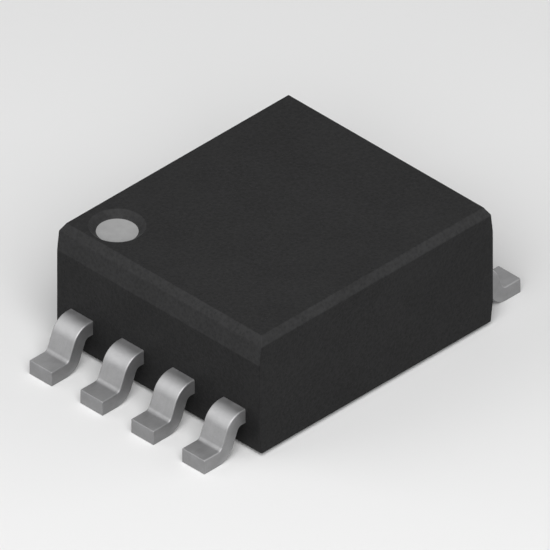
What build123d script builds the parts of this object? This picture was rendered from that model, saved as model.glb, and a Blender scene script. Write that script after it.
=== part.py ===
from build123d import *
from math import radians, tan
import os

os.makedirs("parts", exist_ok=True)

# An eight-lead small-outline chip, in millimetres.
# X runs across the two lead rows, Y runs along them and Z is up. The origin is on the
# seating plane, under the middle of the body. Pin 1 is at -X, +Y, and the count runs
# anticlockwise seen from above.

# Moulded body
body_width = 5.84  # across the rows, at the vertical belt
end_margin = 0.625  # from the middle of the outermost lead to the end of the body
body_height = 2.47  # underside to top
standoff = 0.08  # underside above the seating plane
belt_bottom = 0.435  # the lower draft ends here, above the underside
belt_top = 1.92  # the upper draft starts here, above the underside
draft_angle = 7  # degrees, over and under the upright belt of each side wall
chamfer_drop = 0.165  # height of the chamfer round the top
side_chamfer = 0.1  # its width on the lead sides
end_chamfer = 0.095  # its width on the ends
ejector_mark_diameter = 1.2  # shallow round mark of the mould's ejector pin, in the underside
ejector_mark_depth = 0.03

# Pin 1 dimple
dimple_diameter = 1.03  # at the top face
dimple_floor_diameter = 0.755
dimple_depth = 0.125
dimple_side_offset = 0.73  # dimple centre in from the pin 1 side of the belt
dimple_end_offset = 0.78  # dimple centre in from the pin 1 end
mark_thickness = 0.02  # light grey fill let into the dimple's floor

# Formed leads
leads_per_row = 4
lead_pitch = 1.27
lead_width = 0.56
strip_thickness = 0.3  # the whole lead frame is stamped from this strip
foot_length = 0.352  # flat sole, from the end of the lower bend to the toe
frame_height = 0.605  # underside of the flat strip above the seating plane
shoulder = 0.09  # flat stretch outside the body
shoulder_bend_radius = 0.11  # inside of the upper bend
heel_bend_radius = 0.1  # inside of the lower bend
lead_slope = 68  # degrees from the seating plane

# Inner ends of the leads
neck_length = 0.27  # from the wall in to the anchor
anchor_length = 0.42
anchor_width = 0.8
anchor_corner = 0.1  # cut off each corner of the anchor
lock_hole_diameter = 0.26
finger_length = 0.7  # from the anchor in to the tip
finger_tip_width = 0.5
finger_tip_pitch = 0.82  # the fingers close up towards the die

# Die paddle and its tie bars
paddle_gap = 0.25  # between the finger tips and the paddle
paddle_length = 3.1
paddle_corner_radius = 0.15
paddle_downset = 0.2  # how far the paddle lies below the strip
tie_bar_width = 0.36
tie_bar_lead_in = 0.1  # flat stretch at the paddle before the step
tie_bar_slope = 45  # degrees
tie_bar_bend_radius = 0.2  # on the bar's middle line
tie_bar_cover = 0.1  # moulding left over the end of each tie bar

# Die and its attach layer
die_width = 1.7
die_length = 2.1
die_thickness = 0.28
attach_thickness = 0.03
attach_margin = 0.08  # squeezed out all round the die
attach_corner_radius = 0.12

# Bond wires
wire_diameter = 0.05
wire_sides = 8  # flats round the fine wire, in place of a full circle
ball_diameter = 0.11
ball_height = 0.035
pad_inset = 0.13  # ball centre in from the edge of the die
pad_pitch = 0.55
loop_rise = 0.24  # top of the loop above the die
loop_radius = 0.1
stitch_length = 0.14  # wire pressed flat on the finger
stitch_inset = 0.1  # end of the stitch in from the finger's tip
stitch_height = 0.6  # wire axis over the finger, as a share of the wire's radius

# Levels and places that follow from these
body_bottom = standoff
body_top = standoff + body_height
half_width = body_width / 2
half_length = (leads_per_row - 1) / 2 * lead_pitch + end_margin
bottom_draft_inset = belt_bottom * tan(radians(draft_angle))
top_draft_inset = (body_height - chamfer_drop - belt_top) * tan(radians(draft_angle))
strip_bottom = frame_height
strip_top = frame_height + strip_thickness
anchor_outer = half_width - neck_length
anchor_inner = anchor_outer - anchor_length
finger_tip = anchor_inner - finger_length
paddle_width = 2 * (finger_tip - paddle_gap)
paddle_bottom = strip_bottom - paddle_downset
paddle_top = strip_top - paddle_downset
die_bottom = paddle_top + attach_thickness
die_top = die_bottom + die_thickness
dimple_floor = body_top - dimple_depth
dimple_place = (dimple_side_offset - half_width, half_length - dimple_end_offset)


def row_plane(side, height=0):
    """The plane of one lead row: side 1 is the +X row, -1 the same row turned half round."""
    return Plane(origin=(0, 0, height), x_dir=(side, 0, 0), z_dir=(0, 0, 1))


def make_lead(name, side, rank):
    """One lead: side picks the row, rank counts pitches from the middle of the row."""
    place = rank * lead_pitch
    tip_place = rank * finger_tip_pitch
    bend_radius = shoulder_bend_radius + strip_thickness / 2
    heel_radius = heel_bend_radius + strip_thickness / 2
    middle_height = strip_bottom + strip_thickness / 2
    foot_height = strip_thickness / 2
    bend_corner = half_width + shoulder + bend_radius * tan(radians(lead_slope / 2))
    heel_corner = bend_corner + (middle_height - foot_height) / tan(radians(lead_slope))
    toe = heel_corner + heel_radius * tan(radians(lead_slope / 2)) + foot_length

    section_plane = Plane(
        origin=(0, side * place, 0), x_dir=(side, 0, 0), z_dir=(0, -side, 0)
    )
    with BuildPart() as lead:
        # The bent strip, traced along its middle line from the anchor to the toe
        with BuildSketch(section_plane):
            with BuildLine():
                FilletPolyline(
                    (anchor_outer, middle_height),
                    (bend_corner, middle_height),
                    (heel_corner, foot_height),
                    (toe, foot_height),
                    radius=(bend_radius, heel_radius),
                )
            trace(line_width=strip_thickness)
        extrude(amount=lead_width / 2, both=True)
        # The anchor and the bond finger, stamped flat
        with BuildSketch(row_plane(side, strip_bottom)):
            with Locations(((anchor_outer + anchor_inner) / 2, place)):
                Rectangle(anchor_length, anchor_width)
                chamfer(vertices(), anchor_corner)
            Polygon(
                (anchor_inner + anchor_corner, place - lead_width / 2),
                (anchor_inner + anchor_corner, place + lead_width / 2),
                (finger_tip, tip_place + finger_tip_width / 2),
                (finger_tip, tip_place - finger_tip_width / 2),
                align=None,
            )
            with Locations(((anchor_outer + anchor_inner) / 2, place)):
                Circle(lock_hole_diameter / 2, mode=Mode.SUBTRACT)
        extrude(amount=strip_thickness)

    lead.part.label = name
    return lead


def make_bond_wire(name, side, rank):
    """One wire: a ball on the die, a loop, and a stitch pressed flat on the finger."""
    pad = Vector(die_width / 2 - pad_inset, rank * pad_pitch)
    stitch_end = Vector(finger_tip + stitch_inset + stitch_length, rank * finger_tip_pitch)
    row = row_plane(side, die_top)
    along = row.from_local_coords(stitch_end) - row.from_local_coords(pad)
    reach = along.length
    stitch_level = strip_top - die_top + stitch_height * wire_diameter / 2

    pad_plane = Plane(origin=row.from_local_coords(pad), x_dir=along, z_dir=(0, 0, 1))
    loop_plane = Plane(origin=pad_plane.origin, x_dir=along, z_dir=along.cross(Vector(0, 0, 1)))
    with BuildPart() as bond_wire:
        with BuildSketch(pad_plane):
            Circle(ball_diameter / 2)
        extrude(amount=ball_height)
        with BuildLine(loop_plane) as loop:
            FilletPolyline(
                (0, ball_height),
                (0, loop_rise),
                (reach - stitch_length, stitch_level),
                (reach, stitch_level),
                radius=loop_radius,
            )
        with BuildSketch(pad_plane.offset(ball_height)):
            RegularPolygon(wire_diameter / 2, wire_sides, rotation=180 / wire_sides)
        sweep(path=loop.line)
        split(bisect_by=Plane.XY.offset(strip_top), keep=Keep.TOP)

    bond_wire.part.label = name
    return bond_wire


leads = []
bond_wires = []
for side, first_pin in ((-1, 1), (1, 1 + leads_per_row)):
    for place in range(leads_per_row):
        pin = first_pin + place
        rank = place - (leads_per_row - 1) / 2
        leads.append(make_lead(f"lead_{pin}", side, rank))
        bond_wires.append(make_bond_wire(f"bond_wire_{pin}", side, rank))

# The paddle, with a stepped tie bar at each end
step_start = paddle_length / 2 + tie_bar_lead_in
step_end = step_start + paddle_downset / tan(radians(tie_bar_slope))
with BuildPart() as die_paddle:
    with BuildSketch(Plane.XY.offset(paddle_bottom)):
        RectangleRounded(paddle_width, paddle_length, paddle_corner_radius)
    extrude(amount=strip_thickness)
    with BuildSketch(Plane.YZ):
        with BuildLine():
            FilletPolyline(
                (0, paddle_top - strip_thickness / 2),
                (step_start, paddle_top - strip_thickness / 2),
                (step_end, strip_top - strip_thickness / 2),
                (half_length - tie_bar_cover, strip_top - strip_thickness / 2),
                radius=tie_bar_bend_radius,
            )
        trace(line_width=strip_thickness)
        mirror(about=Plane.YZ)
    extrude(amount=tie_bar_width / 2, both=True)
die_paddle.part.label = "die_paddle"

with BuildPart() as die_attach:
    with BuildSketch(Plane.XY.offset(paddle_top)):
        RectangleRounded(
            die_width + 2 * attach_margin, die_length + 2 * attach_margin, attach_corner_radius
        )
    extrude(amount=attach_thickness)
die_attach.part.label = "die_attach"

with BuildPart() as silicon_die:
    with BuildSketch(Plane.XY.offset(die_bottom)):
        Rectangle(die_width, die_length)
    extrude(amount=die_thickness)
silicon_die.part.label = "silicon_die"

with BuildPart() as pin_1_mark:
    with BuildSketch(Plane.XY.offset(dimple_floor - mark_thickness)):
        with Locations(dimple_place):
            Circle(dimple_floor_diameter / 2)
    extrude(amount=mark_thickness)
pin_1_mark.part.label = "pin_1_mark"

# The body is the section across the rows crossed with the section along them
with BuildPart() as moulded_body:
    with BuildSketch(Plane.XZ):
        with BuildLine():
            Polyline(
                (0, body_bottom),
                (half_width - bottom_draft_inset, body_bottom),
                (half_width, body_bottom + belt_bottom),
                (half_width, body_bottom + belt_top),
                (half_width - top_draft_inset, body_top - chamfer_drop),
                (half_width - top_draft_inset - side_chamfer, body_top),
                (0, body_top),
                close=True,
            )
        make_face()
        mirror(about=Plane.YZ)
    extrude(amount=half_length, both=True)
    with BuildSketch(Plane.YZ):
        with BuildLine():
            Polyline(
                (0, body_bottom),
                (half_length, body_bottom),
                (half_length, body_top - chamfer_drop),
                (half_length - end_chamfer, body_top),
                (0, body_top),
                close=True,
            )
        make_face()
        mirror(about=Plane.YZ)
    extrude(amount=half_width, both=True, mode=Mode.INTERSECT)
    # Pin 1 dimple, narrowing to its floor
    with BuildSketch(Plane.XY.offset(body_top)):
        with Locations(dimple_place):
            Circle(dimple_diameter / 2)
    with BuildSketch(Plane.XY.offset(dimple_floor)):
        with Locations(dimple_place):
            Circle(dimple_floor_diameter / 2)
    loft(mode=Mode.SUBTRACT)
    # Ejector pin mark in the underside
    with BuildSketch(Plane.XY.offset(body_bottom)):
        Circle(ejector_mark_diameter / 2)
    extrude(amount=ejector_mark_depth, mode=Mode.SUBTRACT)
    # The compound flows round everything that it seals in
    for piece in (*leads, *bond_wires, die_paddle, die_attach, silicon_die, pin_1_mark):
        add(piece.part, mode=Mode.SUBTRACT)
moulded_body.part.label = "moulded_body"

for piece in (moulded_body, pin_1_mark, die_paddle, die_attach, silicon_die, *leads, *bond_wires):
    export_step(piece.part, f"parts/{piece.part.label}.step")
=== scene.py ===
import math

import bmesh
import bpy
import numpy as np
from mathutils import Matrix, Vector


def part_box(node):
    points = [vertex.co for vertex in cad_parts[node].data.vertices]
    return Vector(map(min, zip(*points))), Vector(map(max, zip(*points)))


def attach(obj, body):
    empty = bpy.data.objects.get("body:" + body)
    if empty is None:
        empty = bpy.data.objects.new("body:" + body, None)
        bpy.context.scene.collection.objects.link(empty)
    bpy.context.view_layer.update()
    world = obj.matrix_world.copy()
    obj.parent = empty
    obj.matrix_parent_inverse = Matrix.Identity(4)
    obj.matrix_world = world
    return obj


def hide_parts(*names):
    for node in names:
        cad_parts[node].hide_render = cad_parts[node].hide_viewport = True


bl_info = {
    "name": "Small-outline chip",
    "version": (1, 0, 0),
    "blender": (4, 5, 0),
    "location": "View3D > Sidebar > Chip",
    "description": "Dresses a moulded eight-lead small-outline chip",
    "category": "Object",
}

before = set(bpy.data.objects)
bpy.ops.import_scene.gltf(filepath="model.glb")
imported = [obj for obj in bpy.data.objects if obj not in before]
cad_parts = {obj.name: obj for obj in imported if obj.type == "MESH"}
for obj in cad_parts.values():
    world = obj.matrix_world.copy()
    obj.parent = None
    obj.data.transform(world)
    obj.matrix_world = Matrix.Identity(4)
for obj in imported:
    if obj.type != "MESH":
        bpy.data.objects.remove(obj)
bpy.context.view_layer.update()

MM = 0.001
ROOT = "root"
NEAR = 1e-3 * MM  # closer than this, two packed points are at the same place


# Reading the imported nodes

def node_points(name):
    """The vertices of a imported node, as rows of x, y and z."""
    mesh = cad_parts[name].data
    points = np.empty(len(mesh.vertices) * 3)
    mesh.vertices.foreach_get("co", points)
    return points.reshape(-1, 3)


def node_names(start):
    """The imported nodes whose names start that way, in order."""
    return sorted(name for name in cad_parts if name.startswith(start))


def at(points, axis, place):
    """The points that lie at one place along an axis."""
    return points[np.abs(points[:, axis] - place) < NEAR]


def middle_and_half(values):
    """The middle of a range of values and half its size."""
    return (values.max() + values.min()) / 2, (values.max() - values.min()) / 2


def mark_size():
    """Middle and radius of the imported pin 1 mark, and the heights of its underside and its top."""
    low, high = (np.array(corner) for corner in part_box("pin_1_mark"))
    return (low + high)[:2] / 2, (high - low)[0] / 2, low[2], high[2]


def ball_base(wire):
    """The points where the ball of a packed bond wire stands on the die."""
    return at(node_points(wire), 2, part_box("silicon_die")[1][2])


def add_object(name, data):
    """A new object in the scene."""
    made = bpy.data.objects.new(name, data)
    bpy.context.scene.collection.objects.link(made)
    return made


def dress(name, material):
    """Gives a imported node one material."""
    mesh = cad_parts[name].data
    mesh.materials.clear()
    mesh.materials.append(material)


# Surfaces

RUN_ON = 1.2  # reaches from a rounded corner to the point that keeps its run flat
FLAT_FROM = 1.4  # reaches from a rounded corner to the start of a flat face
SIDE_MARGIN = 0.03  # share of a rectangle's side between its corner and the point that keeps it flat
WELD_DISTANCE = NEAR / 50
SHARP_ANGLE = math.radians(40)


def surface(points, closed=True):
    """Quads of a surface given as rows of points. If closed, each row's end also joins its start."""
    rows, columns = points.shape[:2]
    index = np.arange(rows * columns).reshape(rows, columns)
    if closed:
        index = np.concatenate([index, index[:, :1]], axis=1)
    quads = np.stack([index[:-1, :-1], index[:-1, 1:], index[1:, 1:], index[1:, :-1]], axis=-1)
    return points.reshape(rows * columns, -1), quads.reshape(-1, 4)


def cap(ring):
    """A fan over a ring: the surface that shrinks the ring to its middle."""
    return surface(np.stack([ring, np.broadcast_to(ring.mean(axis=0), ring.shape)]))


def rounded_path(corners, reach, steps):
    """A polyline with each inner corner rounded by a quadratic Bezier curve between points at the same reach
    on its runs: (1-t)^2 a + 2t(1-t) corner + t^2 b. A further point each side keeps the runs flat."""
    corners = np.asarray(corners, float)
    t = np.linspace(0, 1, steps)[:, None]
    stretches = [corners[:1]]
    for before, corner, after in zip(corners, corners[1:], corners[2:]):
        into = (before - corner) / np.linalg.norm(before - corner)
        out = (after - corner) / np.linalg.norm(after - corner)
        a, b = corner + into * reach, corner + out * reach
        curve = (1 - t) ** 2 * a + 2 * t * (1 - t) * corner + t**2 * b
        stretches += [[corner + into * reach * RUN_ON], curve, [corner + out * reach * RUN_ON]]
    return np.concatenate([*stretches, corners[-1:]])


def bent_line(corners, radii, steps):
    """Straight runs in a plane joined by tangent arcs. An arc starts r tan(turn / 2) before its corner. Its
    points are the centre less the spoke turned by 0 to turn. Gives points, unit tangents and bends, which are
    above 0 where the line turns left."""
    corners = np.asarray(corners, float)
    runs = np.diff(corners, axis=0)
    runs /= np.linalg.norm(runs, axis=1)[:, None]
    share = np.linspace(0, 1, steps)
    points, tangents, bends = [corners[:1]], [runs[:1]], [[0.0]]
    for corner, into, out, radius in zip(corners[1:-1], runs, runs[1:], radii):
        turn = math.atan2(into[0] * out[1] - into[1] * out[0], into @ out)
        start = corner - into * radius * math.tan(abs(turn) / 2)
        spoke = np.array([-into[1], into[0]]) * math.copysign(radius, turn)
        points.append(start + spoke - turned(spoke, turn * share))
        tangents.append(turned(into, turn * share))
        bends.append(np.sin(math.pi * share) * math.copysign(1, turn))
    return (np.concatenate([*points, corners[-1:]]), np.concatenate([*tangents, runs[-1:]]),
            np.concatenate([*bends, [0.0]]))


def turned(vector, angles):
    """A vector in a plane turned by each of many angles."""
    angles = angles[:, None]
    return vector * np.cos(angles) + np.array([-vector[1], vector[0]]) * np.sin(angles)


def lengths_along(line):
    """How far along a line each of its points lies."""
    return np.concatenate([[0], np.cumsum(np.linalg.norm(np.diff(line, axis=0), axis=1))])


def rounded_rectangle(half_x, half_y, radii, corner_steps, side_steps):
    """Points round rectangles, one row for each pair of half sizes: a quarter circle with its own radius at
    each corner, from the first quadrant to the fourth, then steps along the next side. The first and last of
    those lie close to the corners, which keeps the side flat."""
    half_x, half_y = (np.atleast_1d(half)[:, None] for half in (half_x, half_y))
    corners = []
    for quarter, (sx, sy, radius) in enumerate(zip((1, -1, -1, 1), (1, 1, -1, -1), radii)):
        turn = math.pi / 2 * (quarter + np.linspace(0, 1, corner_steps))
        corners.append(np.stack([sx * (half_x - radius) + radius * np.cos(turn),
                                 sy * (half_y - radius) + radius * np.sin(turn)], axis=-1))
    share = np.linspace(SIDE_MARGIN, 1 - SIDE_MARGIN, side_steps)[:, None]
    runs = []
    for corner, following in zip(corners, corners[1:] + corners[:1]):
        start, end = corner[:, -1:], following[:, :1]
        runs += [corner, start + (end - start) * share]
    return np.concatenate(runs, axis=1)


def rays(bearings):
    """Unit vectors at the given bearings, as rows of x and y."""
    return np.stack([np.cos(bearings), np.sin(bearings)], axis=-1)


def circle_rings(middle, rows, bearings):
    """Points at the given bearings round an upright axis, one ring for each row of radius and height."""
    radius, height = rows[:, 0, None], rows[:, 1, None]
    x = middle[0] + radius * np.cos(bearings)
    y = middle[1] + radius * np.sin(bearings)
    return np.stack([x, y, np.broadcast_to(height, x.shape)], axis=-1)


def add_piece(name, surfaces, material, node):
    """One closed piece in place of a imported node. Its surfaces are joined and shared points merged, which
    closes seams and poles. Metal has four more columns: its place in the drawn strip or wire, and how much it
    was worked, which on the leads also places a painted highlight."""
    starts = np.cumsum([0] + [len(points) for points, _ in surfaces[:-1]])
    points = np.concatenate([part for part, _ in surfaces])
    quads = np.concatenate([start + part for start, (_, part) in zip(starts, surfaces)])
    mesh = bpy.data.meshes.new(name)
    mesh.from_pydata(points[:, :3], [], quads)
    if points.shape[1] > 3:
        drawn = mesh.attributes.new("drawn", "FLOAT_VECTOR", "POINT")
        drawn.data.foreach_set("vector", points[:, 3:6].ravel())
        worked = mesh.attributes.new("worked", "FLOAT", "POINT")
        worked.data.foreach_set("value", points[:, 6].copy())
    weld(mesh)
    mesh.polygons.foreach_set("use_smooth", np.ones(len(mesh.polygons), bool))
    mesh.set_sharp_from_angle(angle=SHARP_ANGLE)
    mesh.materials.append(material)
    piece = add_object(name, mesh)
    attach(piece, ROOT)
    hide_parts(node)


def weld(mesh):
    """Merges points that lie together, turns all faces outwards and makes sure that nothing is open."""
    shell = bmesh.new()
    shell.from_mesh(mesh)
    bmesh.ops.remove_doubles(shell, verts=shell.verts, dist=WELD_DISTANCE)
    bmesh.ops.recalc_face_normals(shell, faces=shell.faces)
    if not all(edge.is_manifold for edge in shell.edges):
        raise ValueError(f"{mesh.name} isn't closed")
    shell.to_mesh(mesh)
    shell.free()


# Shader nodes

def set_inputs(tree, node, inputs):
    """Links each input that is given as a socket, and sets any other as a value."""
    for key, value in inputs.items():
        if isinstance(value, bpy.types.NodeSocket):
            tree.links.new(value, node.inputs[key])
        else:
            node.inputs[key].default_value = value


def add_node(tree, kind, inputs=None, **settings):
    """One node with its settings and inputs. Gives its outputs."""
    made = tree.nodes.new(kind)
    for key, value in settings.items():
        setattr(made, key, value)
    set_inputs(tree, made, inputs or {})
    return made.outputs


def calculate(tree, operation, *values):
    """The result of one Math node."""
    return add_node(tree, "ShaderNodeMath", dict(enumerate(values)), operation=operation)[0]


def spread(tree, value, low, high, to_low=0.0, to_high=1.0):
    """A value that runs from one limit to another where the given one runs from low to high."""
    inputs = {"Value": value, "From Min": low, "From Max": high, "To Min": to_low, "To Max": to_high}
    return add_node(tree, "ShaderNodeMapRange", inputs)["Result"]


def blend_colours(tree, factor, first, second):
    """A colour between two, by a mask. A Mix node has its colours at inputs 6 and 7 and at output 2."""
    inputs = {"Factor": factor, 6: first, 7: second}
    return add_node(tree, "ShaderNodeMix", inputs, data_type="RGBA")[2]


def shade(colour, factor=1.0):
    """A linear colour made lighter or darker, with full alpha."""
    return tuple(min(1.0, channel * factor) for channel in colour[:3]) + (1.0,)


def mottle(tree, factor, colour, low, high):
    """Two shades of one colour, mixed by a mask."""
    return blend_colours(tree, factor, shade(colour, low), shade(colour, high))


def shade_over(tree, base, mask, share, colour, factor):
    """A base with a shade of a colour over it, by a share of a mask."""
    return blend_colours(tree, calculate(tree, "MULTIPLY", mask, share), base, shade(colour, factor))


def bump(tree, height, strength, depth):
    """The normal that a height gives."""
    inputs = {"Height": height, "Strength": strength, "Distance": depth}
    return add_node(tree, "ShaderNodeBump", inputs)["Normal"]


def face_rise(tree):
    """How far up each face looks, from -1 to 1."""
    normal = add_node(tree, "ShaderNodeNewGeometry")["True Normal"]
    return add_node(tree, "ShaderNodeSeparateXYZ", {0: normal})[2]


def metal_marks(tree):
    """What a metal piece carries: its place in the drawn strip or wire, and how much it was worked, also a
    painted highlight on the leads.
    """
    return (add_node(tree, "ShaderNodeAttribute", attribute_name="drawn")["Vector"],
            add_node(tree, "ShaderNodeAttribute", attribute_name="worked")["Fac"])


def new_group(name, inputs, outputs):
    """A shader node group for a vector and numbers. Gives its tree, its inputs and its output node."""
    tree = bpy.data.node_groups.new(name, "ShaderNodeTree")
    tree.interface.new_socket("Vector", in_out="INPUT", socket_type="NodeSocketVector")
    for way, labels in (("INPUT", inputs), ("OUTPUT", outputs)):
        for label in labels:
            tree.interface.new_socket(label, in_out=way, socket_type="NodeSocketFloat")
    return tree, add_node(tree, "NodeGroupInput"), tree.nodes.new("NodeGroupOutput")


def pitted_grain():
    """Fine noise with soft pits, as a height, and a mask of specks, as of filler grains at the skin."""
    tree, given, result = new_group("Pitted grain", ["Grain", "Speck"], ["Height", "Specks"])
    place, grain = given["Vector"], given["Grain"]
    noise = add_node(tree, "ShaderNodeTexNoise", {
        "Vector": place, "Scale": grain, "Detail": 4.0, "Roughness": 0.62})
    pits = add_node(tree, "ShaderNodeTexVoronoi", {
        "Vector": place, "Scale": calculate(tree, "MULTIPLY", grain, 0.55), "Smoothness": 0.6},
        feature="SMOOTH_F1")
    height = add_node(tree, "ShaderNodeMix", {"Factor": 0.4, "A": noise["Fac"], "B": pits["Distance"]})
    cells = add_node(tree, "ShaderNodeTexVoronoi", {
        "Vector": place, "Scale": calculate(tree, "MULTIPLY", grain, 0.8)})
    set_inputs(tree, result, {
        "Height": height["Result"],
        "Specks": spread(tree, cells["Distance"], given["Speck"], 0.0)})
    return tree


def slow_drift():
    """A slow, cloudy value between two limits, for tone or gloss that varies from place to place."""
    tree, given, result = new_group("Slow drift", ["Scale", "Low", "High"], ["Value"])
    inputs = {"Vector": given["Vector"], "Scale": given["Scale"], "Detail": 3.0}
    noise = add_node(tree, "ShaderNodeTexNoise", inputs)["Fac"]
    value = spread(tree, noise, 0.3, 0.7, given["Low"], given["High"])
    set_inputs(tree, result, {"Value": value})
    return tree


def drawn_lines():
    """Fine lines along the first axis of the vector, as rolling and drawing leave them, from 0 to 1."""
    tree, given, result = new_group("Drawn lines", ["Scale", "Stretch"], ["Lines"])
    squeeze = add_node(tree, "ShaderNodeCombineXYZ", {0: given["Stretch"], 1: 1.0, 2: 1.0})
    along = add_node(tree, "ShaderNodeVectorMath", {0: given["Vector"], 1: squeeze[0]}, operation="MULTIPLY")
    noise = add_node(tree, "ShaderNodeTexNoise", {
        "Vector": along[0], "Scale": given["Scale"], "Detail": 3.0, "Roughness": 0.6})
    set_inputs(tree, result, {"Lines": noise["Fac"]})
    return tree


GROUP_MAKERS = {"Pitted grain": pitted_grain, "Slow drift": slow_drift, "Drawn lines": drawn_lines}


def effect(tree, name, vector, **values):
    """A shared group, made when first asked for, placed in a material. Gives its outputs."""
    group = bpy.data.node_groups.get(name) or GROUP_MAKERS[name]()
    return add_node(tree, "ShaderNodeGroup", {"Vector": vector, **values}, node_tree=group)


def drift(tree, vector, scale, low=0.0, high=1.0):
    """The value of a slow drift."""
    return effect(tree, "Slow drift", vector, Scale=scale, Low=low, High=high)["Value"]


def new_material(name):
    """An empty material, its node tree and its object coordinates."""
    material = bpy.data.materials.new(name)
    material.use_nodes = True
    tree = material.node_tree
    tree.nodes.clear()
    return material, tree, add_node(tree, "ShaderNodeTexCoord")["Object"]


def shaded(material, inputs):
    """The material, finished with a Principled shader."""
    shader = add_node(material.node_tree, "ShaderNodeBsdfPrincipled", inputs)
    add_node(material.node_tree, "ShaderNodeOutputMaterial", {"Surface": shader["BSDF"]})
    return material


# Settings

def length_setting(name, description, millimetres):
    """A length, given in millimetres."""
    return bpy.props.FloatProperty(name=name, description=description, default=millimetres * MM, min=0.0,
                                   unit="LENGTH", subtype="DISTANCE", precision=6)


def colour_setting(name, description, colour):
    """A linear colour."""
    return bpy.props.FloatVectorProperty(name=name, description=description, default=colour, min=0.0, max=1.0,
                                         subtype="COLOR")


def strength_setting(name, description, strength):
    """A brightness or a share."""
    return bpy.props.FloatProperty(name=name, description=description, default=strength, min=0.0)


class CHIP_PG_moulding(bpy.types.PropertyGroup):
    """The moulded body and the mark in its dimple."""

    edge_reach: length_setting("Edge rounding", "How far each moulded edge is rounded back", 0.018)
    rim_reach: length_setting("Rim rounding", "How far the edges of the two recesses are rounded back", 0.01)
    corner_radius: length_setting("Corner radius", "Radius of the four upright corners", 0.015)
    colour: colour_setting("Compound colour", "Colour of the moulding compound", (0.0169, 0.0169, 0.0172))
    mark_colour: colour_setting("Mark colour", "Colour of the fill in the pin 1 dimple", (0.32, 0.32, 0.32))


class CHIP_PG_leads(bpy.types.PropertyGroup):
    """The formed leads, with their anchors and bond fingers."""

    shoulder: length_setting("Shoulder", "Flat stretch outside the body", 0.09)
    bend_radius: length_setting("Shoulder bend", "Inside radius of the upper bend", 0.11)
    heel_radius: length_setting("Heel bend", "Inside radius of the lower bend", 0.1)
    slope: bpy.props.FloatProperty(name="Slope", description="Slope of the lead from the board",
                                   default=math.radians(68), subtype="ANGLE")
    rolled_edge: length_setting("Rolled edge", "Rounding of the edges on the punch side", 0.024)
    burred_edge: length_setting("Burred edge", "Rounding of the edges on the die side", 0.012)
    neck_length: length_setting("Neck", "From the wall in to the anchor", 0.27)
    anchor_length: length_setting("Anchor length", "Anchor along the lead", 0.42)
    anchor_width: length_setting("Anchor width", "Anchor across the lead", 0.8)
    anchor_corner: length_setting("Anchor corner", "Cut off each corner of the anchor", 0.1)
    lock_hole: length_setting("Locking hole", "Diameter of the hole in the anchor", 0.26)
    colour: colour_setting("Tin colour", "Colour of the tin plating", (0.3, 0.3, 0.303))


class CHIP_PG_wires(bpy.types.PropertyGroup):
    """The bond wires."""

    wire_radius: length_setting("Wire radius", "Radius of the gold wire", 0.025)
    ball_height: length_setting("Ball height", "Height of the squashed ball on the die", 0.035)
    loop_rise: length_setting("Loop rise", "Top of the loop above the die", 0.24)
    loop_radius: length_setting("Loop radius", "Radius of the bends in the loop", 0.1)
    stitch_length: length_setting("Stitch length", "Wire pressed flat on the finger", 0.14)
    colour: colour_setting("Gold colour", "Colour of the wire", (0.86, 0.58, 0.2))


class CHIP_PG_inner(bpy.types.PropertyGroup):
    """The paddle, the attach layer and the die."""

    paddle_colour: colour_setting("Copper colour", "Colour of the paddle", (0.72, 0.38, 0.24))
    attach_colour: colour_setting("Paste colour", "Colour of the attach layer", (0.36, 0.36, 0.35))
    die_colour: colour_setting("Silicon colour", "Colour of the die's sawn sides", (0.1, 0.11, 0.14))
    film_colour: colour_setting("Film colour", "Second tint of the die's circuit", (0.2, 0.17, 0.24))
    pad_colour: colour_setting("Pad colour", "Colour of the die's bond pads", (0.62, 0.62, 0.6))
    pad_size: length_setting("Pad size", "Side of each square bond pad", 0.13)


class CHIP_PG_stage(bpy.types.PropertyGroup):
    """The floor, the lights and the camera."""

    floor_colour: colour_setting("Floor colour", "Colour of the plain floor", (0.8, 0.8, 0.8))
    floor_bounce: strength_setting("Floor bounce", "Share of its colour in the light it throws back", 0.5)
    left_light: strength_setting("Left light", "Brightness of the softbox on the left", 1.4)
    right_light: strength_setting("Right light", "Brightness of the low softbox on the right", 1.45)
    front_light: strength_setting("Front light", "Brightness of the softbox over the camera", 4.6)
    fill: strength_setting("Fill light", "Brightness of the even light from all round", 0.15)
    backdrop: strength_setting("Backdrop", "Brightness of what the camera sees past the floor", 0.87)


# Stage

PICTURE_WIDTH = 550  # pixels
PICTURE_SCALE = 56.64 / MM  # pixels for each metre across the line of sight
PICTURE_AIM = Vector((0.0, 0.0, 1.254 * MM))  # what lies at the picture's middle
VIEW_AZIMUTH = -45
VIEW_ELEVATION = math.degrees(math.atan(1 / math.sqrt(2)))
CAMERA_DISTANCE = 60 * MM
FLOOR_SIZE = 800 * MM
SOFTBOX_DISTANCE = 100 * MM
SOFTBOX_SIZE = 90 * MM
SOFTBOXES = (  # name, azimuth, elevation, and the setting with the brightness
    ("left_softbox", -133, 28, "left_light"),
    ("right_softbox", 43, 12, "right_light"),
    ("front_softbox", -45, 47, "front_light"),
)


def place_facing(made, azimuth, elevation, distance):
    """Puts a camera or a light round the chip, turned to it. Azimuth 0 is at -Y and 90 at +X."""
    turn, rise = math.radians(azimuth), math.radians(elevation)
    away = Vector((math.sin(turn) * math.cos(rise), -math.cos(turn) * math.cos(rise), math.sin(rise)))
    made.location = PICTURE_AIM + away * distance
    made.rotation_euler = (-away).to_track_quat("-Z", "Y").to_euler()


def background_rays(tree):
    """A mask of the rays that show the background: the camera's, and those mirrored or passed through."""
    light_path = add_node(tree, "ShaderNodeLightPath")
    thrown = calculate(tree, "MAXIMUM", light_path["Is Glossy Ray"], light_path["Is Transmission Ray"])
    return calculate(tree, "MAXIMUM", light_path["Is Camera Ray"], thrown)


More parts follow.
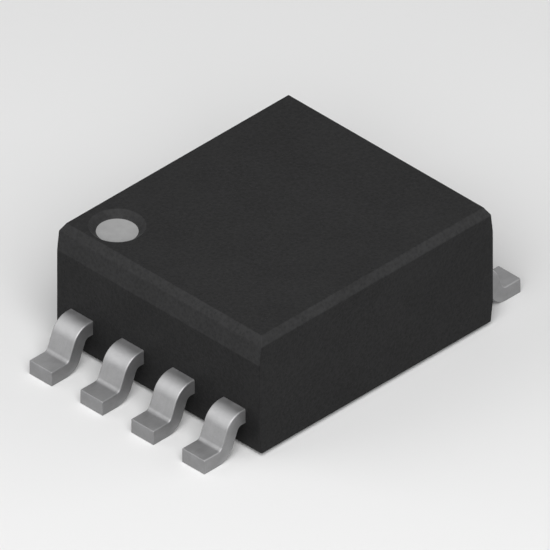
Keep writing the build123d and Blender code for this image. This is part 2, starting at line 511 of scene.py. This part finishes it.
class CHIP_OT_stage(bpy.types.Operator):
    """Makes the floor, the soft studio light and the camera"""

    bl_idname = "chip.stage"
    bl_label = "Stage"

    def execute(self, context):
        scene, settings = context.scene, context.scene.chip_stage
        self.add_floor(settings)
        for name, azimuth, elevation, brightness in SOFTBOXES:
            self.add_softbox(name, azimuth, elevation, getattr(settings, brightness))
        self.add_world(scene, settings)
        self.add_camera(scene)
        scene.view_settings.view_transform = "Standard"
        return {"FINISHED"}

    def add_floor(self, settings):
        """A plain square of floor at the seating plane, pale where it is seen or mirrored, but greyer to the
        light that it throws back on matte faces."""
        material, tree, _ = new_material("Plain floor")
        colour = mottle(tree, background_rays(tree), settings.floor_colour, settings.floor_bounce, 1.0)
        shaded(material, {"Base Color": colour, "Roughness": 0.9, "Specular IOR Level": 0.1})
        half = FLOOR_SIZE / 2
        mesh = bpy.data.meshes.new("floor")
        corners = [(-half, -half, 0), (half, -half, 0), (half, half, 0), (-half, half, 0)]
        mesh.from_pydata(corners, [], [(0, 1, 2, 3)])
        mesh.materials.append(material)
        floor = add_object("floor", mesh)

    def add_softbox(self, name, azimuth, elevation, brightness):
        """A square light of that brightness all over, turned to the chip."""
        light = bpy.data.lights.new(name, "AREA")
        light.shape = "SQUARE"
        light.size = SOFTBOX_SIZE
        light.energy = brightness * math.pi * SOFTBOX_SIZE**2
        place_facing(add_object(name, light), azimuth, elevation, SOFTBOX_DISTANCE)

    def add_world(self, scene, settings):
        """Even white light from all round, which is as pale as the floor where it is seen or mirrored."""
        world = bpy.data.worlds.new("Even light")
        world.use_nodes = True
        tree = world.node_tree
        strength = spread(tree, background_rays(tree), 0.0, 1.0, settings.fill, settings.backdrop)
        set_inputs(tree, tree.nodes["Background"], {"Color": (1.0, 1.0, 1.0, 1.0), "Strength": strength})
        scene.world = world

    def add_camera(self, scene):
        """A camera without perspective, at the picture's isometric angle and scale."""
        camera = bpy.data.cameras.new("camera")
        camera.type = "ORTHO"
        camera.ortho_scale = PICTURE_WIDTH / PICTURE_SCALE
        camera.clip_start = MM
        camera.clip_end = 2 * FLOOR_SIZE
        scene.camera = add_object("camera", camera)
        place_facing(scene.camera, VIEW_AZIMUTH, VIEW_ELEVATION, CAMERA_DISTANCE)


# Moulded body

BODY_CORNER_STEPS = 7
BODY_SIDE_STEPS = 70
EDGE_STEPS = 7
FACE_STEPS = 8
PAINTED_LIGHT_TONE = 1.6  # painted light: how much paler the moulding is painted where its faces tilt up, as if lit from above


def body_profile():
    """The moulding's edges from its underside up, as rows of half width, half length and height."""
    points = node_points("moulded_body")
    half_length, top_height = points[:, 1].max(), points[:, 2].max()
    end_wall = at(points, 1, half_length)
    heights = np.unique(np.round(end_wall[:, 2] / NEAR)) * NEAR
    rows = [(at(end_wall, 2, height)[:, 0].max(), half_length, height) for height in heights]
    top = at(points, 2, top_height)
    return np.array([*rows, (top[:, 0].max(), top[:, 1].max(), top_height)])


def dimple_section():
    """The pin 1 dimple's middle, and its section as rows of radius and height: seat, floor's edge, rim."""
    middle, floor_radius, seat, floor = mark_size()
    points = node_points("moulded_body")
    top = at(points, 2, points[:, 2].max())
    rim_radius = np.hypot(*(top[:, :2] - middle).T).min()
    return middle, np.array([(floor_radius, seat), (floor_radius, floor), (rim_radius, top[0, 2])])


def ejector_mark_section():
    """Section of the ejector pin's round mark in the underside, as rows of radius and height: edge, floor."""
    points = node_points("moulded_body")
    underside = at(points, 2, points[:, 2].min())
    radius = np.hypot(*underside[:, :2].T).min()
    above = points[np.hypot(*points[:, :2].T) < radius + NEAR, 2]
    floor = above[above > underside[0, 2] + NEAR].min()
    return np.array([(radius, underside[0, 2]), (radius, floor)])


def moulding_material(settings):
    """Black epoxy with the fine grain of a spark-eroded mould, and filler specks in its skin. The faces that
    tilt up, which are the upper draft, the chamfer and the dimple's wall, are painted paler as painted light
    from above."""
    material, tree, place = new_material("Moulding compound")
    rise = face_rise(tree)
    # painted light: a mask of the faces that tilt up, by their normal's rise
    painted_light_mask = calculate(tree, "MULTIPLY", spread(tree, rise, 0.02, 0.1), spread(tree, rise, 0.99, 0.9))
    grain = effect(tree, "Pitted grain", place, Grain=26000.0, Speck=0.22)
    pits = spread(tree, grain["Height"], 0.32, 0.6, to_high=0.65)
    tone = calculate(tree, "ADD", drift(tree, place, 900.0, high=0.35), pits)
    # painted light: the tone range is made paler on those faces, as if lit from above
    darkest, palest = (mottle(tree, painted_light_mask, settings.colour, limit, PAINTED_LIGHT_TONE * limit)
                       for limit in (0.75, 1.25))
    base = blend_colours(tree, tone, darkest, palest)
    return shaded(material, {
        "Base Color": shade_over(tree, base, grain["Specks"], 0.8, settings.colour, 2.6),
        "Roughness": drift(tree, place, 2200.0, 0.42, 0.5),
        "Specular IOR Level": 0.06,
        "Normal": bump(tree, grain["Height"], 0.9, 0.006 * MM)})


class CHIP_OT_moulding(bpy.types.Operator):
    """Makes the moulded body as one closed skin"""

    bl_idname = "chip.moulding"
    bl_label = "Moulded body"

    def execute(self, context):
        """Rings run from the middle of the dimple's floor up its wall, over the top, down the sides and in to
        the middle of the underside. A straight blend from point to point makes each flat face between."""
        settings = context.scene.chip_moulding
        reach, rim_reach = settings.edge_reach, settings.rim_reach
        profile = body_profile()[::-1]
        inset = FLAT_FROM * reach * np.array([1, 1, 0])
        path = rounded_path([profile[0] - inset, *profile, profile[-1] - inset], reach, EDGE_STEPS)
        outline = rounded_rectangle(path[:, 0], path[:, 1], [settings.corner_radius] * 4, BODY_CORNER_STEPS,
                                    BODY_SIDE_STEPS)
        height = np.broadcast_to(path[:, 2, None, None], outline.shape[:2] + (1,))
        sides = np.concatenate([outline, height], axis=-1)

        middle, dimple = dimple_section()
        bearings = np.arctan2(sides[0, :, 1] - middle[1], sides[0, :, 0] - middle[0])
        past_rim = [FLAT_FROM * rim_reach, 0]
        lip = rounded_path([dimple[1], dimple[2], dimple[2] + past_rim], rim_reach, EDGE_STEPS)
        bowl = circle_rings(middle, np.vstack([dimple[0] * [0, 1], dimple[0], lip]), bearings)

        edge, floor = ejector_mark_section()
        step = np.vstack([edge + past_rim, edge, floor, floor * [0, 1]])
        bearings = np.arctan2(sides[-1, :, 1], sides[-1, :, 0])
        mark = circle_rings((0, 0), rounded_path(step, rim_reach, EDGE_STEPS), bearings)

        top, underside = self.face(bowl[-1], sides[0]), self.face(sides[-1], mark[0])
        skin = surface(np.concatenate([bowl, top, sides, underside, mark]))
        add_piece("body_skin", [skin], moulding_material(settings), "moulded_body")
        return {"FINISHED"}

    def face(self, first, last):
        """Rings between two rings, counting neither."""
        share = np.linspace(0, 1, FACE_STEPS + 2)[1:-1, None, None]
        return first * (1 - share) + last * share


# Pin 1 mark

MARK_RINGS = 15
MARK_STEPS = 96
MARK_DIP = 0.35  # how deep its middle lies, as a share of its thickness


def mark_material(settings):
    """Light grey fill, a little mottled, with a soft sheen."""
    material, tree, place = new_material("Marking fill")
    grain = effect(tree, "Pitted grain", place, Grain=22000.0, Speck=0.25)
    base = mottle(tree, drift(tree, place, 5000.0), settings.mark_colour, 0.94, 1.05)
    return shaded(material, {
        "Base Color": blend_colours(tree, grain["Specks"], base, shade(settings.mark_colour, 0.85)),
        "Roughness": drift(tree, place, 7000.0, 0.45, 0.6),
        "Specular IOR Level": 0.35,
        "Normal": bump(tree, grain["Height"], 0.4, 0.002 * MM)})


class CHIP_OT_mark(bpy.types.Operator):
    """Makes the light grey fill in the floor of the pin 1 dimple"""

    bl_idname = "chip.mark"
    bl_label = "Pin 1 mark"

    def execute(self, context):
        """A round disc whose top dips from its edge as 1 - share^6, like a fill that clings to the wall."""
        middle, radius, seat, rim = mark_size()
        share = np.linspace(0, 1, MARK_RINGS)
        top = np.stack([radius * share, rim - MARK_DIP * (rim - seat) * (1 - share**6)], axis=1)
        under = np.array([(radius, seat), (0.0, seat)])
        bearings = np.linspace(0, 2 * math.pi, MARK_STEPS, endpoint=False)
        disc = surface(circle_rings(middle, np.vstack([top, under]), bearings))
        material = mark_material(context.scene.chip_moulding)
        add_piece("mark_fill", [disc], material, "pin_1_mark")
        return {"FINISHED"}


# Leads

LEAD_BEND_STEPS = 22
SECTION_CORNER_STEPS = 5
SECTION_SIDE_STEPS = 8
TOE_STEPS = 4
OUTLINE_STEPS = 200
LEAST_TURN = 1e-3  # radians between two bearings of the outline at its ends
PAST_THE_EYE = 0.01 * MM  # how far the neck and the finger overlap under the hole's middle
JUNCTION = 0.06 * MM  # how far outside the anchor the bent strip starts
BEND_HIGHLIGHT_TONE = 1.16  # painted highlight: how much paler the tin is painted at the middle of each bend's outside


def tin_material(settings):
    """Matte tin over rolled strip: a fine crystalline grain over faint lines along the lead. The outside of
    the bends, which the forming tool worked, is a little smoother, and painted paler there as a painted
    highlight."""
    material, tree, place = new_material("Matte tin")
    drawn, worked = metal_marks(tree)
    grain = effect(tree, "Pitted grain", place, Grain=40000.0, Speck=0.3)
    lines = effect(tree, "Drawn lines", drawn, Scale=36000.0, Stretch=0.05)["Lines"]
    base = mottle(tree, drift(tree, place, 4200.0), settings.colour, 0.92, 1.06)
    scored = shade_over(tree, base, lines, 0.45, settings.colour, 0.75)
    dull = shade_over(tree, scored, grain["Specks"], 0.6, settings.colour, 0.8)
    gloss = drift(tree, place, 6000.0, 0.56, 0.66)
    height = calculate(tree, "MULTIPLY_ADD", lines, 0.6, grain["Height"])
    return shaded(material, {
        # painted highlight: paler tin on the outside of the bends
        "Base Color": blend_colours(tree, worked, dull, shade(settings.colour, BEND_HIGHLIGHT_TONE)),
        "Metallic": 1.0,
        "Roughness": calculate(tree, "MULTIPLY_ADD", worked, -0.05, gloss),
        "Normal": bump(tree, height, 0.8, 0.003 * MM)})


def outline_reach(corners, bearings, inset):
    """How far a convex outline round the origin, drawn in by an inset, reaches at each bearing: the least of
    (offset - inset) / (normal . ray) over the sides that the ray leaves through. The corners run
    anticlockwise."""
    sides = np.roll(corners, -1, axis=0) - corners
    normals = np.stack([sides[:, 1], -sides[:, 0]], axis=1) / np.linalg.norm(sides, axis=1)[:, None]
    offsets = np.einsum("ij,ij->i", normals, corners)[:, None] - inset
    facing = normals @ rays(bearings).T
    return np.where(facing > 0, offsets / np.where(facing > 0, facing, 1), np.inf).min(axis=0)


class CHIP_OT_leads(bpy.types.Operator):
    """Makes the eight tinned gull-wing leads with their anchors and bond fingers"""

    bl_idname = "chip.leads"
    bl_label = "Leads"

    def execute(self, context):
        settings = context.scene.chip_leads
        material = tin_material(settings)
        for node in node_names("lead_"):
            points = node_points(node)
            side = np.sign(points[:, 0].mean())
            self.measure(settings, points * [side, 1, 1])
            shells = [*self.bent_strip(settings), *self.plate(settings)]
            mirror = np.array([side, 1, 1, side, 1, 1, 1])
            shells = [(shell * mirror, quads) for shell, quads in shells]
            add_piece(f"tinned_{node}", shells, material, node)
        return {"FINISHED"}

    def measure(self, settings, points):
        """Finds the sizes of one packed lead, and the section that its strip has all along."""
        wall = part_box("moulded_body")[1][0]
        self.toe, tip = points[:, 0].max(), points[:, 0].min()
        toe_face = at(points, 0, self.toe)
        self.middle, self.half_width = middle_and_half(toe_face[:, 1])
        self.foot_level, self.half_thickness = middle_and_half(toe_face[:, 2])
        self.level = points[:, 2].max() - self.half_thickness
        tip_middle, tip_half = middle_and_half(at(points, 0, tip)[:, 1])
        self.eye = wall - settings.neck_length - settings.anchor_length / 2
        self.tip = np.array([(tip - self.eye, tip_middle - self.middle + sign * tip_half)
                             for sign in (1, -1)])
        self.junction = settings.anchor_length / 2 + JUNCTION
        self.bend_corner = (wall + settings.shoulder
                            + (settings.bend_radius + self.half_thickness) * math.tan(settings.slope / 2))
        self.radii = [settings.rolled_edge] * 2 + [settings.burred_edge] * 2
        self.ring = rounded_rectangle(self.half_width, self.half_thickness, self.radii, SECTION_CORNER_STEPS,
                                      SECTION_SIDE_STEPS)[0]

    def bent_strip(self, settings):
        """The strip outside the anchor: the section swept along the bent line, point = line + up * normal
        with across on Y, and drawn in at its end to round the toe. The outside of each bend is marked as much
        as it is bent, for a smoother finish and a painted highlight there."""
        heel = self.bend_corner + (self.level - self.foot_level) / math.tan(settings.slope)
        rounding = settings.burred_edge
        corners = [(self.eye + self.junction, self.level), (self.bend_corner, self.level),
                   (heel, self.foot_level), (self.toe - rounding, self.foot_level)]
        radii = np.array([settings.bend_radius, settings.heel_radius]) + self.half_thickness
        line, tangents, bends = bent_line(corners, radii, LEAD_BEND_STEPS)
        turn = np.linspace(0, math.pi / 2, TOE_STEPS + 1)[1:, None]
        line = np.concatenate([line, line[-1] + tangents[-1] * rounding * np.sin(turn)])
        tangents = np.concatenate([tangents, np.tile(tangents[-1], (TOE_STEPS, 1))])
        bends = np.concatenate([bends, np.zeros(TOE_STEPS)])
        drawn_in = np.zeros(len(line))
        drawn_in[-TOE_STEPS:] = rounding * (1 - np.cos(turn[:, 0]))
        rings = rounded_rectangle(self.half_width - drawn_in, self.half_thickness - drawn_in, self.radii,
                                  SECTION_CORNER_STEPS, SECTION_SIDE_STEPS)
        across, up = rings[..., 0], rings[..., 1]
        x = line[:, 0, None] - up * tangents[:, 1, None]
        y = self.middle + across
        z = line[:, 1, None] + up * tangents[:, 0, None]
        along = np.broadcast_to(lengths_along(line)[:, None], x.shape)
        # the outside of each bend: a smoother finish there, and a painted highlight on the tin
        rubbed_and_highlit = np.clip(-bends[:, None] * up / self.half_thickness, 0, 1)
        tube = np.stack([x, y, z, along, y, up, rubbed_and_highlit], axis=-1)
        return [surface(tube), cap(tube[-1])]

    def plate(self, settings):
        """The neck's end, anchor and finger as one plate. Its outline is the farthest of three convex ones
        round the middle of the locking hole, r(b) = max(neck, anchor, finger). Its edge is that outline drawn
        in step by step like the strip's section, so the neck runs on into the strip. The last step at each
        rim is level, which keeps the faces flat."""
        corner, run = SECTION_CORNER_STEPS, SECTION_SIDE_STEPS
        # one side of the section, from a level step on top to one below
        edge = np.roll(self.ring, 1 - 3 * (corner + run), axis=0)[:2 * corner + run + 2][::-1]
        shapes, bearings = self.plate_shapes(settings)
        reaches = [np.max([outline_reach(shape, bearings, inset) for shape in shapes], axis=0)
                   for inset in self.half_width - edge[:, 0]]
        wall = rays(bearings)[:, None] * np.stack(reaches, axis=1)[..., None]
        wall[0] = np.stack([np.full(len(edge), self.junction), edge[:, 0]], axis=1)
        wall[-1] = wall[0] * [1, -1]
        wall = self.placed(wall, edge[:, 1])
        # the rest of the section, on top and below
        top_run = self.ring[corner:corner + run][-2:0:-1]
        under_run = self.ring[3 * corner + 2 * run:3 * (corner + run)][1:-1]
        shells = [surface(wall, closed=False)]
        hole = []
        for rim, neck in ((wall[:, 0], top_run), (wall[:, -1], under_run)):
            across_neck = np.stack([np.full(len(neck), self.junction), neck[:, 0]], axis=-1)
            rim = np.concatenate([rim, self.placed(across_neck, neck[:, 1])])
            bearings = np.arctan2(rim[:, 1] - self.middle, rim[:, 0] - self.eye)
            circle = rays(bearings) * settings.lock_hole / 2
            hole.append(self.placed(circle, neck[0, 1]))
            shells.append(surface(np.stack([rim, hole[-1]])))
        return [*shells, surface(np.stack(hole))]

    def plate_shapes(self, settings):
        """The outlines of anchor, finger and neck round the hole's middle, and the bearings of the plate's
        points, from one side of the neck round to the other."""
        half_width, junction, tip = self.half_width, self.junction, self.tip
        end, side, cut = settings.anchor_length / 2, settings.anchor_width / 2, settings.anchor_corner
        quarter = np.array([(end, side - cut), (end - cut, side)])
        anchor = np.concatenate([quarter, quarter[::-1] * [-1, 1], -quarter, quarter[::-1] * [1, -1]])
        start = np.array([(cut - end, half_width), (cut - end, -half_width)])
        slopes = (tip - start) / (tip - start)[:, :1]
        finger_end, finger_root = (start + slopes * (u - start[:, :1]) for u in (PAST_THE_EYE, -end))
        finger = np.array([*finger_end[::-1], *tip])
        neck = np.array([(2 * junction, -half_width), (2 * junction, half_width), (-PAST_THE_EYE, half_width),
                         (-PAST_THE_EYE, -half_width)])
        first = math.atan2(half_width, junction)
        last = 2 * math.pi - first
        corners = np.concatenate([anchor, tip, finger_root, [(end, half_width), (end, -half_width)]])
        turns = np.arctan2(corners[:, 1], corners[:, 0]) % (2 * math.pi)
        bearings = np.unique(np.round(np.concatenate([np.linspace(first, last, OUTLINE_STEPS), turns]), 6))
        inner = bearings[(bearings > first + LEAST_TURN) & (bearings < last - LEAST_TURN)]
        return (anchor, finger, neck), np.concatenate([[first], inner, [last]])

    def placed(self, flat, up):
        """Points of the plate from their place in it and height over its middle, with the lead's marks."""
        u, v = flat[..., 0], flat[..., 1]
        up = np.broadcast_to(up, u.shape)
        y = self.middle + v
        return np.stack([self.eye + u, y, self.level + up, u - self.junction, y, up, np.zeros(u.shape)],
                        axis=-1)


# Bond wires

WIRE_BEND_STEPS = 14
WIRE_SIDES = 20
BALL_STEPS = 10
BALL_WAIST = 0.45  # where the ball is widest, as a share of its height
BALL_SPREAD = 0.62
STITCH_STEPS = 10
STITCH_WIDENING = 0.9  # share of the wire's radius that the end of the stitch gains across
STITCH_THINNING = 0.8  # and loses in height
WIRE_END = 0.999  # share of the farthest distance from the ball beyond which the wire's end lies


def gold_material(settings):
    """Drawn gold wire: fine lines along it, and duller metal where it was melted or pressed flat."""
    material, tree, place = new_material("Gold wire")
    drawn, worked = metal_marks(tree)
    lines = effect(tree, "Drawn lines", drawn, Scale=160000.0, Stretch=0.03)["Lines"]
    grain = effect(tree, "Pitted grain", place, Grain=120000.0, Speck=0.2)
    base = mottle(tree, drift(tree, place, 12000.0), settings.colour, 0.93, 1.04)
    gloss = calculate(tree, "MULTIPLY_ADD", lines, 0.2, 0.16)
    return shaded(material, {
        "Base Color": shade_over(tree, base, lines, 0.35, settings.colour, 0.75),
        "Metallic": 1.0,
        "Roughness": calculate(tree, "MULTIPLY_ADD", worked, 0.15, gloss),
        "Normal": bump(tree, calculate(tree, "ADD", lines, grain["Height"]), 0.3, 0.0006 * MM)})


class CHIP_OT_wires(bpy.types.Operator):
    """Makes the eight gold bond wires, each with its ball, loop and stitch"""

    bl_idname = "chip.wires"
    bl_label = "Bond wires"

    def execute(self, context):
        settings = context.scene.chip_wires
        material = gold_material(settings)
        for node in node_names("bond_wire_"):
            points, base = node_points(node), ball_base(node)
            pad = base.mean(axis=0)
            ball_radius = np.hypot(*(base - pad)[:, :2].T).max()
            distance = np.hypot(*(points - pad)[:, :2].T)
            stitch_end = points[distance > WIRE_END * distance.max()]
            run = stitch_end[:, :2].mean(axis=0) - pad[:2]
            reach = np.hypot(*run)
            rings = self.rings(settings, ball_radius, reach, stitch_end[:, 2].min() - pad[2])
            wire = self.placed(rings, pad, run / reach)
            shells = [surface(wire), cap(wire[0]), cap(wire[-1])]
            add_piece(f"gold_{node}", shells, material, node)
        return {"FINISHED"}

    def rings(self, settings, ball_radius, reach, finger):
        """Sections in the wire's own upright plane, as rows of distance out, across, height and marks. The
        ball's radius is R sqrt(1 - ((z/H - waist) / spread)^2). The stitch is pressed as a smoothstep."""
        radius, ball_height = settings.wire_radius, settings.ball_height
        level = finger + radius
        corners = [(0, ball_height), (0, settings.loop_rise), (reach - settings.stitch_length, level),
                   (reach, level)]
        line, tangents, _ = bent_line(corners, [settings.loop_radius] * 2, WIRE_BEND_STEPS)
        rise = np.linspace(0, 1, BALL_STEPS)[:-1]
        ball = np.stack([0 * rise, rise * ball_height], axis=1)
        share = np.linspace(0, 1, STITCH_STEPS)[1:, None]
        stitch = line[-2] + (line[-1] - line[-2]) * share
        line = np.concatenate([ball, line[:-1], stitch])
        tangents = np.concatenate([np.tile(tangents[0], (len(ball), 1)), tangents[:-1],
                                   np.tile(tangents[-1], (len(stitch), 1))])
        size, pressed = np.full(len(line), radius), np.zeros(len(line))
        size[:len(ball)] = ball_radius * np.sqrt(1 - ((rise - BALL_WAIST) / BALL_SPREAD) ** 2)
        pressed[-len(stitch):] = (share * share * (3 - 2 * share))[:, 0]
        across, up = size * (1 + STITCH_WIDENING * pressed), size * (1 - STITCH_THINNING * pressed)
        worked = np.maximum(pressed, np.arange(len(line)) < len(ball))
        line[-len(stitch):, 1] = finger + up[-len(stitch):]

        turn = np.linspace(0, 2 * math.pi, WIRE_SIDES, endpoint=False)
        sideways, upward = across[:, None] * np.cos(turn), up[:, None] * np.sin(turn)
        out = line[:, 0, None] - upward * tangents[:, 1, None]
        height = line[:, 1, None] + upward * tangents[:, 0, None]
        along, worked = (np.broadcast_to(mark[:, None], out.shape) for mark in (lengths_along(line), worked))
        return np.stack([out, sideways, height, along, sideways, upward, worked], axis=-1)

    def placed(self, rings, pad, direction):
        """The sections turned to run out from the pad in a direction."""
        out, sideways = rings[..., 0], rings[..., 1]
        x = pad[0] + out * direction[0] - sideways * direction[1]
        y = pad[1] + out * direction[1] + sideways * direction[0]
        return np.concatenate([np.stack([x, y, pad[2] + rings[..., 2]], axis=-1), rings[..., 3:]], axis=-1)


# Die, paddle and attach layer

def copper_material(settings):
    """Rolled copper strip: lines along Y, slow tarnish and a fine grain."""
    material, tree, place = new_material("Copper strip")
    along_y = add_node(tree, "ShaderNodeMapping", {"Vector": place, "Rotation": (0, 0, math.pi / 2)})
    lines = effect(tree, "Drawn lines", along_y[0], Scale=45000.0, Stretch=0.03)["Lines"]
    grain = effect(tree, "Pitted grain", place, Grain=70000.0, Speck=0.2)
    base = mottle(tree, drift(tree, place, 1800.0), settings.paddle_colour, 0.82, 1.05)
    return shaded(material, {
        "Base Color": shade_over(tree, base, lines, 0.4, settings.paddle_colour, 0.7),
        "Metallic": 1.0,
        "Roughness": calculate(tree, "MULTIPLY_ADD", lines, 0.2, 0.28),
        "Normal": bump(tree, calculate(tree, "ADD", lines, grain["Height"]), 0.4, 0.001 * MM)})


def silver_epoxy_material(settings):
    """Cured paste full of silver flakes: bright specks in a grey, slightly wavy skin."""
    material, tree, place = new_material("Silver epoxy")
    grain = effect(tree, "Pitted grain", place, Grain=45000.0, Speck=0.5)
    base = mottle(tree, drift(tree, place, 3000.0), settings.attach_colour, 0.85, 1.1)
    height = calculate(tree, "ADD", drift(tree, place, 9000.0), grain["Height"])
    return shaded(material, {
        "Base Color": blend_colours(tree, grain["Specks"], base, shade(settings.attach_colour, 1.6)),
        "Metallic": calculate(tree, "MULTIPLY", grain["Specks"], 0.8),
        "Roughness": 0.45,
        "Normal": bump(tree, height, 0.5, 0.003 * MM)})


def pad_mask(tree, place, pad_size):
    """A mask of square bond pads, one under each ball: a row each side at the same distance."""
    pads = np.array([ball_base(wire).mean(axis=0) for wire in node_names("bond_wire_")])
    row, half_pitch = np.abs(pads[:, 0]).mean(), np.abs(pads[:, 1]).min()
    x, y, _ = add_node(tree, "ShaderNodeSeparateXYZ", {0: place})
    off_row = calculate(tree, "ABSOLUTE", calculate(tree, "SUBTRACT", calculate(tree, "ABSOLUTE", x), row))
    off_pitch = calculate(tree, "SUBTRACT", half_pitch, calculate(tree, "PINGPONG", y, half_pitch))
    return calculate(tree, "LESS_THAN", calculate(tree, "MAXIMUM", off_row, off_pitch), pad_size / 2)


def silicon_material(settings):
    """Sawn silicon with a patterned circuit side: blocks of fine wiring in muted tints, and bond pads."""
    material, tree, place = new_material("Silicon")
    blocks = add_node(tree, "ShaderNodeTexBrick", {
        "Vector": place, "Color1": shade(settings.die_colour, 0.7), "Color2": shade(settings.film_colour),
        "Mortar": shade(settings.die_colour, 0.4), "Scale": 1 / MM, "Mortar Size": 0.012,
        "Brick Width": 0.46, "Row Height": 0.31}, offset=0.37, squash=1.7)
    cells = add_node(tree, "ShaderNodeTexVoronoi", {"Vector": place, "Scale": 30000.0, "Randomness": 0.3},
                     distance="MANHATTAN")["Distance"]
    wired = shade_over(tree, blocks["Color"], cells, 0.6, settings.die_colour, 1.8)
    pads = pad_mask(tree, place, settings.pad_size)
    patterned = blend_colours(tree, pads, wired, shade(settings.pad_colour))
    circuit_side = calculate(tree, "GREATER_THAN", face_rise(tree), 0.9)
    sawn = calculate(tree, "MULTIPLY_ADD", circuit_side, -0.25, 0.25)
    saw_lines = effect(tree, "Drawn lines", place, Scale=60000.0, Stretch=0.05)["Lines"]
    return shaded(material, {
        "Base Color": blend_colours(tree, circuit_side, shade(settings.die_colour), patterned),
        "Metallic": 0.35,
        "Roughness": calculate(tree, "MULTIPLY_ADD", saw_lines, 0.3, sawn),
        "Normal": bump(tree, calculate(tree, "ADD", cells, saw_lines), 0.3, 0.001 * MM)})


class CHIP_OT_inner_pieces(bpy.types.Operator):
    """Gives the paddle, the attach layer and the die their materials"""

    bl_idname = "chip.inner_pieces"
    bl_label = "Inner pieces"

    def execute(self, context):
        settings = context.scene.chip_inner
        dress("die_paddle", copper_material(settings))
        dress("die_attach", silver_epoxy_material(settings))
        dress("silicon_die", silicon_material(settings))
        return {"FINISHED"}


# Panel and registration

class CHIP_PT_panel(bpy.types.Panel):
    """Lists the chip's operators and settings"""

    bl_label = "Chip"
    bl_space_type = "VIEW_3D"
    bl_region_type = "UI"
    bl_category = "Chip"

    def draw(self, context):
        for operator in OPERATORS:
            self.layout.operator(operator.bl_idname)
        for name, group in SETTINGS.items():
            box = self.layout.box()
            for key in group.__annotations__:
                box.prop(getattr(context.scene, name), key)


SETTINGS = {
    "chip_moulding": CHIP_PG_moulding,
    "chip_leads": CHIP_PG_leads,
    "chip_wires": CHIP_PG_wires,
    "chip_inner": CHIP_PG_inner,
    "chip_stage": CHIP_PG_stage,
}
OPERATORS = (CHIP_OT_moulding, CHIP_OT_mark, CHIP_OT_leads, CHIP_OT_wires, CHIP_OT_inner_pieces,
             CHIP_OT_stage)
CLASSES = (*SETTINGS.values(), *OPERATORS, CHIP_PT_panel)


def register():
    for kind in CLASSES:
        bpy.utils.register_class(kind)
    for name, group in SETTINGS.items():
        setattr(bpy.types.Scene, name, bpy.props.PointerProperty(type=group))


def unregister():
    for name in SETTINGS:
        delattr(bpy.types.Scene, name)
    for kind in reversed(CLASSES):
        bpy.utils.unregister_class(kind)


def main():
    """Makes every piece in order."""
    register()
    bpy.ops.chip.moulding()
    bpy.ops.chip.mark()
    bpy.ops.chip.leads()
    bpy.ops.chip.wires()
    bpy.ops.chip.inner_pieces()
    bpy.ops.chip.stage()


if __name__ == "__main__":
    main()
